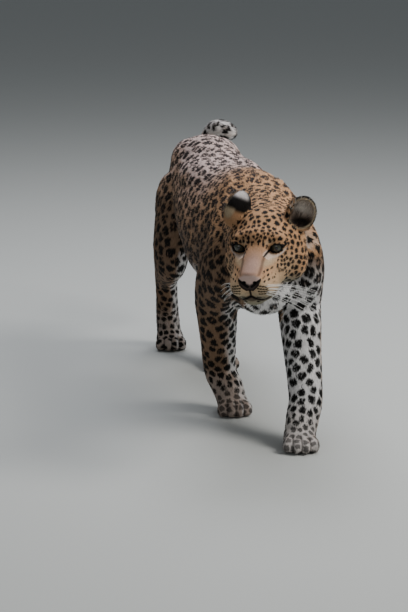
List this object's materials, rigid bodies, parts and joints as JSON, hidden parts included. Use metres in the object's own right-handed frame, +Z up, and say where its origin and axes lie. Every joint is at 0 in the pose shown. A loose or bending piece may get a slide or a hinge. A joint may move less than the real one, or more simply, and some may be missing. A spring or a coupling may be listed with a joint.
{
  "type": "leopard figure",
  "caption": "Life-size museum model of a leopard walking with its head low, one forepaw forward and its long tail curled up behind.",
  "frame": {"origin": "on the ground, under the middle of the whole figure", "axes": "the body runs along Y with the head towards -Y, the left side is at +X, +Z is up"},
  "size_m": [0.316, 1.5728, 0.6312],
  "materials": {
    "coat": "short soft fur",
    "ear": "short soft fur",
    "eye": "wet gloss",
    "nose": "satin"
  },
  "bodies": {
    "root": {"head": "coat", "ear_left": "ear", "ear_right": "ear", "eye_left": "eye", "eye_right": "eye", "nose": "nose", "neck": "coat", "torso": "coat", "foreleg_left_upper": "coat", "foreleg_left_lower": "coat", "forepaw_left": "coat", "foreleg_right_upper": "coat", "foreleg_right_lower": "coat", "forepaw_right": "coat", "hindleg_left_upper": "coat", "hindleg_left_lower": "coat", "hindfoot_left": "coat", "hindleg_right_upper": "coat", "hindleg_right_lower": "coat", "hindfoot_right": "coat", "tail_root": "coat", "tail_middle": "coat", "tail_tip": "coat"}
  },
  "joints": []
}
